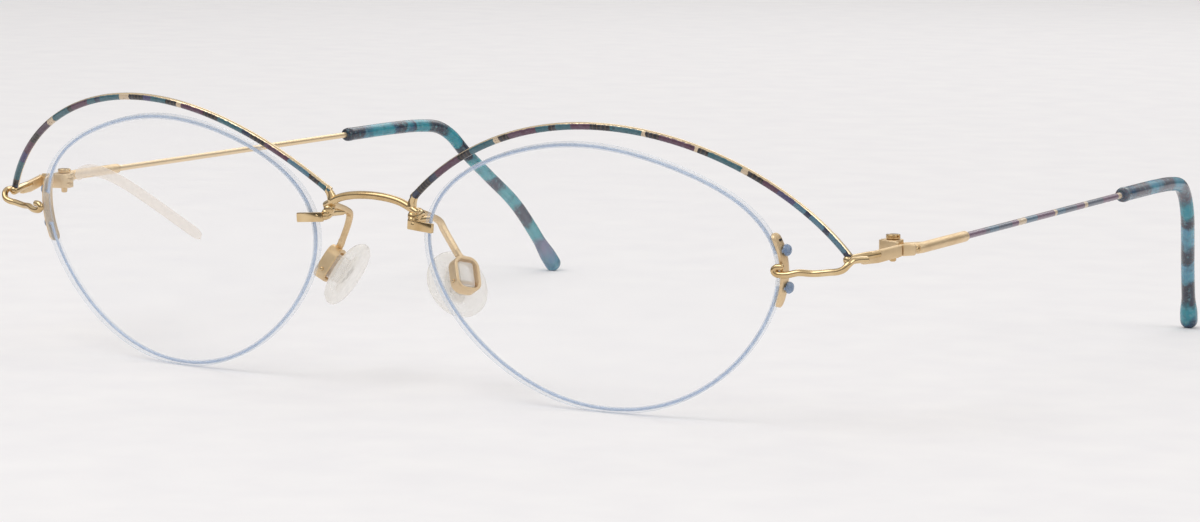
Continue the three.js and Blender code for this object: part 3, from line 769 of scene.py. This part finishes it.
BRACKET_LOW = -3
BRACKET_HIGH = 6.7
BRACKET_HALF_WIDTH = 0.9
BRACKET_HALF_THICK = 0.275
BRACKET_BACK = 0.3
BRACKET_STEPS = 48
RIB_HALF_WIDTH = 0.42
RIB_HEIGHT = 0.16
SLOT_HEIGHT = 5.75


def bracket_shape():
    """A strip along the rim with round ends, a raised rib, and at its upper end a dark oval (slot 1), painted
    shade where the slot would be.
    """
    low, high, half = rim_angle(BRACKET_LOW), rim_angle(BRACKET_HIGH), BRACKET_HALF_WIDTH
    path = [rim(low + (high - low) * k / BRACKET_STEPS, 0.06) for k in range(BRACKET_STEPS + 1)]
    run = distances([Vector(p) for p in path])
    section = square_section(6, 20, 0)
    points = []
    for i, (x, z) in enumerate(path):
        near = min(run[i], run[-1] - run[i])
        share = 1 if near >= half else math.sqrt(max(1 - (1 - near / half)**2, 0.003))
        out = Vector((x, 0, z)).normalized()
        for wide, deep in section:
            rib = RIB_HEIGHT * max(0, 1 - (wide * share * half / RIB_HALF_WIDTH)**2) if deep > 0 else 0
            reach = BRACKET_HALF_THICK * (1 + deep) + rib * min(1, near / 0.5)
            points.append(Vector((x, BRACKET_BACK + wide * half * share, z)) + out * reach)
    size = len(section)
    faces = ring_faces(BRACKET_STEPS + 1, size)
    faces += [list(range(size)), [BRACKET_STEPS * size + k for k in range(size)]]
    shape = Shape().add(points, faces)
    x, z = rim(rim_angle(SLOT_HEIGHT), 0.6)
    angle = math.atan2(z, x)
    place = Matrix.Translation((x, BRACKET_BACK, z)) @ Matrix.Rotation(-angle, 4, "Y")
    # The slot is not cut: this dark oval is painted shade where the hole would be.
    slot = prism(disc(0.34, 20, squash=0.55), -0.1, 0.2, 0.03)
    shape.join(slot, 1, place @ ALONG_X)
    return curved(shape)


KNOB_FOOT = 0.84
KNOB_BACK = 0.4


def knob_shape(height):
    """A small round plug with a collar, standing on the bracket."""
    profile = [(0, -0.02), (0.66, 0), (0.77, 0.05), (0.8, 0.14), (0.77, 0.3), (0.68, 0.46),
               (0.52, 0.6), (0.28, 0.68), (0, 0.71)]
    angle = rim_angle(height)
    x, z = rim(angle, KNOB_FOOT)
    turn = Matrix.Rotation(-math.atan2(z, x), 4, "Y") @ Matrix.Rotation(math.pi / 2, 4, "Y")
    return curved(Shape().join(lathe(profile, 24), None, Matrix.Translation((x, KNOB_BACK, z)) @ turn))


# ---- bridge, brow bars, clips and arms ----
def solder(size, s, reach, swell):
    """A bar's radius at a distance s, swollen a little where it is soldered at its start."""
    return size * (1 + swell * max(0, 1 - s / reach) ** 2)


BRIDGE_HALF = [(7.76, 0.05, 24.65), (4.9, -0.22, 25.97)]
BRIDGE_APEX = (0, -0.3, 26.51)
BRIDGE_RADIUS = 0.55


def bridge_shape():
    other = [(-x, y, z) for x, y, z in reversed(BRIDGE_HALF)]
    path = spline([*BRIDGE_HALF, BRIDGE_APEX, *other], 60)
    return tube(path, BRIDGE_RADIUS, round_section(24), (0, -1, 0), (0.75, 0.75))


# The brow bar's ends, and the handles that arch it between them.
BROW = [(7.17, -0.01, 26.69), (32.34, -8.18, 46.84), (62.08, 0.26, 37.22), (71.14, 7.13, 22.56)]


def brow_shape():
    """An enamelled bar, its enamel facing forwards and down, with a bare foot (slot 1) on the bridge."""
    def arch_radius(s, length):
        return solder(0.5, s, 1.6, 0.12)

    def foot_radius(s, length):
        return solder(0.54, s, 1.5, 0.4)

    shape = tube(bezier(*BROW, 150), arch_radius, round_section(24), (0, -1, -0.9), (0.6, 0.3))
    foot = spline([(6.72, 0.1, 25.42), (6.95, 0.05, 26.05), (7.45, -0.1, 26.95)], 12)
    return shape.join(tube(foot, foot_radius), 1)


CLIP_OUTER = (11.5, -1.56, 22.85)
CLIP_INNER = (7.3, -1.35, 23.15)
CLIP_HEIGHT = 1.3
CLIP_HALF_THICK = 0.25


def solder_blob(points, count, start, end):
    """A short thick run of solder whose radius goes from start to end."""
    def radius(s, length):
        return start + (end - start) * s / length

    return tube(spline(points, count), radius, round_section(20), (0, 0, 1), (0.8, 0.8))


def clip_shape():
    """A flat bar in front of the lens, its neck, and the solder that joins it to the bridge and the arm."""
    outer, inner = Vector(CLIP_OUTER), Vector(CLIP_INNER)
    along = (outer - inner).normalized()
    back = (Vector((0, 1, 0)) - along * along.y).normalized()
    turn = Matrix((along, back, along.cross(back))).transposed().to_4x4()
    place = Matrix.Translation((outer + inner) / 2) @ turn
    outline = rounded_rectangle((outer - inner).length, CLIP_HEIGHT, 0.16, 3)
    bar = prism(outline, -CLIP_HALF_THICK, CLIP_HALF_THICK, 0.09, 3)
    shape = Shape().join(bar, None, place @ ALONG_Y)
    neck = spline([(8.2, -1.25, 23.15), (7.35, -0.7, 23.2), (7.3, 0.05, 23.5), (7.45, 0.35, 24.1)], 20)
    shape.join(tube(neck, lambda s, length: 0.5 + 0.16 * (s / length) ** 2, round_section(16)))
    joint = [(7.1, -0.2, 24.05), (7.45, 0.2, 24.25), (7.5, 0.75, 24.45), (7.4, 1.5, 24.35)]
    web = [(7.35, -0.7, 23.6), (7.4, 1.2, 23.6), (7.45, 3.2, 23.5)]
    shape.join(solder_blob(joint, 12, 0.78, 0.52))
    return shape.join(solder_blob(web, 16, 0.6, 0.48))


ARM_PATH = [(7.25, 0.85, 24.7), (7.4, 3.8, 23.75), (7.7, 5.2, 23), (8.2, 5.6, 21.8), (10.1, 6.3, 18.45)]
ARM_COLLAR = [(9.75, 6.15, 19.1), (10.02, 6.25, 18.6), (10.4, 6.4, 18.15)]


def arm_shape():
    """A square bar bent back and down, with a round collar where it meets the pad box."""
    def radius(s, length):
        return solder(0.43, s, 1.2, 0.25)

    shape = tube(spline(ARM_PATH, 60), radius, square_section(), (0, 0, 1), (0.35, 0.2))
    return shape.join(tube(spline(ARM_COLLAR, 8), 0.5, round_section(16), (0, 0, 1), (0.5, 0.3)))


# ---- nose pads ----
BOX_WIDTH = 4
BOX_HEIGHT = 5.1
BOX_HALF_DEPTH = 0.875
BOX_WALL = 0.45
BOX_CORNER = 1.5
PIN_HALF = 2.12
PIN_HEIGHT = -1.1
PIN_RADIUS = 0.26
PAD_HALF_WIDTH = 4.75
PAD_HALF_HEIGHT = 4.8
PAD_OFFSET = 0.6


def box_shape():
    """A flat ring with a rounded window and eased edges."""
    outer = rounded_rectangle(BOX_WIDTH, BOX_HEIGHT, BOX_CORNER, 8)
    inner = rounded_rectangle(BOX_WIDTH - 2 * BOX_WALL, BOX_HEIGHT - 2 * BOX_WALL, BOX_CORNER - BOX_WALL, 8)
    levels = [(0.10, -BOX_HALF_DEPTH), (0.0, -0.78), (0.0, 0.78), (0.10, BOX_HALF_DEPTH)]
    rings = [(outer, inset, y) for inset, y in levels]
    rings += [(inner, -inset * 0.8, y) for inset, y in reversed(levels)]
    points = []
    for outline, inset, y in rings:
        for x, z in outline:
            share = 1 - inset / math.hypot(x, z)
            points.append((x * share, y, z * share))
    return Shape().add(points, ring_faces(len(rings), len(outer), closed=True))


def pin_shape():
    path = [Vector((x, 0, PIN_HEIGHT)) for x in (-PIN_HALF, -1, 0, 1, PIN_HALF)]
    return tube(path, PIN_RADIUS, round_section(16), (0, 0, 1), (0.5, 0.5))


def pad_shape():
    """A soft oval pillow, thin at its rim."""
    profile = [(0, 1.6), (0.5, 1.6), (0.72, 1.64), (0.82, 1.8), (0.9, 2.0), (0.96, 2.3), (1.0, 2.6),
               (1.0, 3.05), (0.97, 3.35), (0.9, 3.58), (0.78, 3.68), (0.5, 3.73), (0, 3.75)]
    shape = lathe(profile, 64, (PAD_HALF_WIDTH, PAD_HALF_HEIGHT))
    place = Matrix.Translation((PAD_OFFSET, 0, 0)) @ ALONG_Y @ Matrix.Diagonal((1, 1, -1, 1))
    return Shape().join(shape, None, place)


# Small dark marks on the plate's face, each an X and a Z.
INSERT_MARKS = ((-0.5, -0.9), (-0.2, 0.2), (0.1, 1.0), (0.5, -0.3), (0.8, 0.6))


def insert_shape():
    """A square stem that fits in the box, and the oval plate that the pad is moulded on."""
    stem = prism(rounded_rectangle(2.3, 3.6, 0.3, 3), 0.5, -2.6, 0.1)
    plate = prism(disc(1.7, 40, (0.3, 0), 1.7), -2.6, -3.08, 0.12, 3)
    shape = Shape().join(stem, 0, ALONG_Y).join(plate, 0, ALONG_Y)
    for x, z in INSERT_MARKS:
        mark = prism(rounded_rectangle(0.16, 0.8, 0.07, 3), -3.04, -3.14, 0.02)
        shape.join(mark, 1, Matrix.Translation((x, 0, z)) @ ALONG_Y)
    return shape


# ---- hinges ----
PLATE_X = 3.1
PLATE_HALF_THICK = 0.4
KNUCKLE_RADIUS = 1.35
KNUCKLE_GAP = 0.4
BLOCK_HALF = 1.05
HEAD_RADIUS = 0.95
LINE_X = 3.38
BRACE_X = LINE_X - 0.77
LEAF_HALF = 0.76
LEAF_THIN = 0.5
WEB_HALF = 0.36
BEAD_Y = -0.42


def bar_radius(s, length):
    """The round bar's two radii, which shrink as it flattens into the plate."""
    return 0.6 - 0.14 * max(0, s / length - 0.45) ** 2 * 3.3, 0.6 - 0.1 * s / length


def plate_shape():
    """A round bar (slot 1) that flattens into the plate, with two knuckle leaves inboard."""
    x = PLATE_X
    path = [Vector((x, -10.9 + 3.9 * k / 12, -0.72 + 0.36 * k / 12)) for k in range(13)]
    path += [Vector((x, -7 + 1.6 * k / 6, -0.36 + 0.12 * k / 6)) for k in range(1, 7)]
    bar = tube(path, bar_radius, round_section(28), (0, 0, 1), (0.7, 0.3))
    side = [(-8.3, -1.4), (-8.3, 0.02), (-5.6, 0.26), (-3, 0.58), (-1.5, 0.76), (-1.5, -0.78), (-3, -1.02),
            (-5.6, -1.37)]
    block = [(-0.4, -2), (x - 0.3, -2), (x - 0.3, -1.5), (-1.2, -1.4)]
    shape = Shape().join(bar, 1)
    shape.join(prism(side, x - PLATE_HALF_THICK, x + PLATE_HALF_THICK, 0.2, 3), 0, ALONG_X)
    shape.join(prism(block, -BLOCK_HALF, BLOCK_HALF, 0.12), 0)
    turns = [math.pi * k / 16 for k in range(17)]
    round_top = [(KNUCKLE_RADIUS * math.cos(turn), KNUCKLE_RADIUS * math.sin(turn)) for turn in turns]
    knuckle = [(KNUCKLE_RADIUS, -1.2), *round_top, (-KNUCKLE_RADIUS, -0.9), (-0.6, -1.8), (0.9, -1.8)]
    for low in (KNUCKLE_GAP, -BLOCK_HALF):
        shape.join(prism(knuckle, low, low + BLOCK_HALF - KNUCKLE_GAP, 0.07), 0)
    return shape


def screw_shape():
    """A slotted head above the hinge, and below it the shaft's tip with a few thread ridges."""
    shape = lathe([(0, -1.85), (0.3, -1.85), (0.42, -1.72), (0.44, -1.6), (0.44, 1.15), (0, 1.15)], 24)
    base = [(0, 1.09), (0.84, 1.09), (HEAD_RADIUS, 1.2), (HEAD_RADIUS, 1.36), (0, 1.36)]
    shape.join(lathe(base, 32))
    for sign in (1, -1):
        half = []
        for k in range(17):
            angle = math.pi * (0.05 + 0.9 * k / 16)
            half.append((HEAD_RADIUS * math.cos(angle), sign * HEAD_RADIUS * math.sin(angle)))
        shape.join(prism(half, 1.34, 1.71, 0.13, 3))
    for k in range(5):
        rise = 0.11 * k
        ring = [(0, -1.72 + rise), (0.47, -1.70 + rise), (0.44, -1.66 + rise), (0, -1.66 + rise)]
        shape.join(lathe(ring, 20))
    return shape


def leaf_shape():
    """The temple's knuckle, its web and brace, and the bead that closes the sleeve."""
    x = LINE_X
    block = [(2.04, -2.27), (2.76, -2.54), (x + 0.5, -1.4), (x + 0.4, -0.5), (x - 0.4, -0.5), (x - 0.5, -1.4)]
    shape = prism(block, -LEAF_HALF, LEAF_HALF, 0.12, 3)
    for p in shape.points:
        p.z *= 1 - LEAF_THIN * smooth(p.y, -1.7, -0.45)
    web = [(0, -1.2), (x, -1.1), (x, -0.7), (1.2, 1.1), (0, KNUCKLE_RADIUS)]
    shape.join(prism(web, -WEB_HALF, WEB_HALF, 0.06))
    shape.join(prism(disc(KNUCKLE_RADIUS, 36), -WEB_HALF, WEB_HALF, 0.06))
    brace = [(BRACE_X, 0.4), (BRACE_X, 4.4), (BRACE_X - 0.4, 4.35), (0, 1.3), (1.2, 0.8)]
    shape.join(prism(brace, -0.5, 0.5, 0.08))
    bead = [(0, -0.6), (0.24, -0.55), (0.45, -0.4), (0.57, -0.18), (0.6, 0), (0.57, 0.18), (0.45, 0.36),
            (0.4, 0.58), (0, 0.58)]
    turn = Matrix.Translation((x, BEAD_Y, 0)) @ Matrix.Rotation(-math.pi / 2, 4, "X")
    return shape.join(lathe(bead, 28), 1, turn)


# ---- temples ----
SLEEVE_RADIUS = 0.73
TEMPLE_WIRE_RADIUS = 0.46


def straight(start, end, count=8):
    """A straight path along the temple, between two distances from the hinge axis."""
    return [Vector((LINE_X, start + (end - start) * k / count, 0)) for k in range(count + 1)]


def sleeve_radius(s, length):
    return SLEEVE_RADIUS - 0.06 * max(0, 1 - s / 0.5)


def sleeve_shape():
    return tube(straight(0.22, 14.5), sleeve_radius, round_section(28), (1, 0, 0), (0.2, 0.75))


def wire_shape():
    return tube(straight(14.2, 69, 40), TEMPLE_WIRE_RADIUS, round_section(20), (1, 0, 0), (0.2, 0.2))


TIP_PATH = [(LINE_X, 67.4, 0), (LINE_X, 80, -0.05), (3.25, 86, -0.3), (3, 90.2, -0.95), (2.6, 93.1, -2.65),
            (2, 95.8, -5.6), (0.4, 100.2, -10.2), (-1.45, 105, -15.4)]
TIP_END = (-3.85, 111.8)
TIP_RADIUS = 1.04
# How high the middle of the tip's end is, with its underside on the ground.
TIP_LEVEL = 0.77


def tip_radius(s, length):
    """The tip's radius: eased in at its mouth, with a bulb at its end."""
    mouth = 0.06 * (1 - smooth(s, 0.7, 1.6)) - 0.1 * (1 - smooth(s, 0.0, 0.35))
    bulb = 0.32 * smooth(s, length - 5.5, length - 1.4)
    return TIP_RADIUS + mouth + bulb


def tip_shape(side):
    """A tip whose end comes down to the ground, whatever the temple's rise."""
    angle = math.radians(RISE[side])
    end = (TIP_LEVEL - HINGE_AXIS.z - TIP_END[1] * math.sin(angle)) / math.cos(angle)
    path = spline([*TIP_PATH, (*TIP_END, end)], 110)
    return tube(path, tip_radius, round_section(32), (1, 0, 0), (0.25, 0.9))


# From the loop on the bracket, out below the brow bar and back along the hinge bar.
ENDPIECE = [(63.5, 3.1, 21.05), (62.75, 2.95, 20.95), (62.4, 2.9, 20.55), (62.75, 2.95, 20.15),
            (64.1, 3.3, 20.08), (65.5, 3.9, 20.4), (67.3, 4.75, 20.35), (69.3, 5.2, 20.6), (70.6, 5.2, 20.8),
            (71.4, 5.3, 21.15), (71.85, 5.65, 21.75), (72.1, 6.3, 22.17), (72.4, 7.3, 22.24),
            (72.79, 8.6, 22.19)]
ENDPIECE_RADIUS = 0.45


def endpiece_shape():
    return tube(spline(ENDPIECE, 90), ENDPIECE_RADIUS, round_section(24), (0, 0, 1), (0.7, 0.7))


# ---- assembly ----
BROW_LENGTH = 73.4
WIRE_LENGTH = 66.0
TIP_LENGTH = 57.0
BROW_COVER = 0.3
WIRE_COVER = -0.1
BROW_POLISH = 0.16
WIRE_POLISH = 0.36

piece("bridge", bridge_shape(), WORLD, [polished])
for side in SIDES:
    lens = lens_shape()
    if side == "right":
        lens.join(film_shape(), 2)
    piece(f"lens_{side}", lens, LENS_FRAME, [lens_face, lens_edge, film])
    piece(f"nylon_thread_{side}", thread_shape(), LENS_FRAME, [nylon], soft=True)
    # The bracket's slot (slot 1) is painted shade.
    piece(f"lens_bracket_{side}", bracket_shape(), LENS_FRAME, [satin, dark])
    for level, height in KNOB_HEIGHTS.items():
        piece(f"thread_knob_{level}_{side}", knob_shape(height), LENS_FRAME, [knob_look])
    brow = enamel(f"brow_enamel_{side}", BROW_BANDS[side], BROW_LENGTH, BROW_COVER, BROW_POLISH)
    piece(f"brow_bar_{side}", brow_shape(), WORLD, [brow, polished])
    piece(f"nasal_clip_{side}", clip_shape(), WORLD, [polished])
    piece(f"pad_arm_{side}", arm_shape(), WORLD, [satin])
    piece(f"pad_box_{side}", box_shape(), PAD_FRAME, [satin])
    piece(f"pad_pin_{side}", pin_shape(), PAD_FRAME, [polished])
    piece(f"nose_pad_{side}", pad_shape(), PAD_FRAME, [silicone], soft=True)
    piece(f"pad_insert_{side}", insert_shape(), PAD_FRAME, [insert_look, dark])
    piece(f"endpiece_wire_{side}", endpiece_shape(), WORLD, [polished])
    piece(f"hinge_plate_{side}", plate_shape(), PLATE_FRAME, [satin, polished])
    piece(f"hinge_screw_{side}", screw_shape(), PLATE_FRAME, [polished])
    piece(f"temple_hinge_{side}", leaf_shape(), LEAF_FRAME, [satin, polished])
    piece(f"temple_sleeve_{side}", sleeve_shape(), temple_frame(side), [satin])
    wire = enamel(f"temple_enamel_{side}", WIRE_BANDS, WIRE_LENGTH, WIRE_COVER, WIRE_POLISH)
    piece(f"temple_wire_{side}", wire_shape(), temple_frame(side), [wire])
    tip = tip_plastic(f"tip_plastic_{side}", TIP_BANDS[side], TIP_LENGTH)
    piece(f"temple_tip_{side}", tip_shape(side), temple_frame(side), [tip], soft=True)


# ---- floor, light and camera ----
PAPER = (245, 243, 243)
PAPER_DARK = (241, 239, 240)
FLOOR_REACH = 12.0


def paper():
    look = Look("paper")
    grain = look.noise(90, 5)
    look.put("Base Color", look.mix(look.span(grain, 0.3, 0.7), linear(PAPER), linear(PAPER_DARK)))
    look.put("Roughness", 0.9).put("Specular IOR Level", 0.0)
    look.bump(look.noise(1200, 4), 0.04)
    return look.material


floor_mesh = bpy.data.meshes.new("floor")
corners = [(x * FLOOR_REACH, y * FLOOR_REACH, 0) for x, y in ((-1, -1), (1, -1), (1, 1), (-1, 1))]
floor_mesh.from_pydata(corners, [], [(0, 1, 2, 3)])
floor_mesh.materials.append(paper())
floor = bpy.data.objects.new("floor", floor_mesh)
bpy.context.scene.collection.objects.link(floor)

world = bpy.data.worlds.new("studio")
world.use_nodes = True
sky = world.node_tree
direction = sky.nodes.new("ShaderNodeTexCoord").outputs["Generated"]
split = sky.nodes.new("ShaderNodeSeparateXYZ")
sky.links.new(direction, split.inputs[0])
height = sky.nodes.new("ShaderNodeMapRange")
sky.links.new(split.outputs[2], height.inputs[0])
height.interpolation_type = "SMOOTHSTEP"
# The sky brightens from 0.07 at the horizon to 0.7 overhead.
for i, value in enumerate((-0.05, 0.6, 0.07, 0.7)):
    height.inputs[i + 1].default_value = value
background = sky.nodes["Background"]
background.inputs[0].default_value = (1.0, 0.992, 0.985, 1)
sky.links.new(height.outputs[0], background.inputs[1])
bpy.context.scene.world = world


def area(name, place, size, watts, target=(0, 0, 0.02)):
    """A soft rectangular light in metres, turned to face a target."""
    light = bpy.data.lights.new(name, "AREA")
    light.shape = "RECTANGLE"
    light.size, light.size_y = size
    light.energy = watts
    lamp = bpy.data.objects.new(name, light)
    lamp.location = place
    lamp.rotation_euler = (Vector(place) - Vector(target)).to_track_quat("Z", "Y").to_euler()
    bpy.context.scene.collection.objects.link(lamp)


area("key", (-0.25, -0.55, 0.85), (0.9, 0.5), 3.1)
area("side", (0.85, -0.05, 0.55), (0.4, 0.6), 1.3)
area("back", (-0.2, 0.9, 0.7), (1.0, 0.4), 2.0)

CAMERA_SPOT = (331.2036, -435.3559, 81.58)
CAMERA_YAW = 34.0
CAMERA_PITCH = 6.6621
CAMERA_ROLL = 0.5217
CAMERA_LENS = 121.24

camera_data = bpy.data.cameras.new("camera")
camera_data.lens = CAMERA_LENS
camera_data.sensor_width = 36
camera_data.sensor_fit = "HORIZONTAL"
camera_data.clip_start = 0.01
camera_data.clip_end = 60
camera = bpy.data.objects.new("camera", camera_data)
yaw, pitch, roll = (math.radians(angle) for angle in (CAMERA_YAW, CAMERA_PITCH, CAMERA_ROLL))
forward = Vector((-math.sin(yaw) * math.cos(pitch), math.cos(yaw) * math.cos(pitch), -math.sin(pitch)))
level = forward.cross(Vector((0, 0, 1))).normalized()
upright = level.cross(forward)
right = level * math.cos(roll) + upright * math.sin(roll)
up = upright * math.cos(roll) - level * math.sin(roll)
spot = (Vector(CAMERA_SPOT) + SHIFT) * MM
camera.matrix_world = Matrix.Translation(spot) @ Matrix((right, up, -forward)).transposed().to_4x4()
bpy.context.scene.collection.objects.link(camera)
bpy.context.scene.camera = camera
bpy.context.scene.view_settings.view_transform = "Standard"
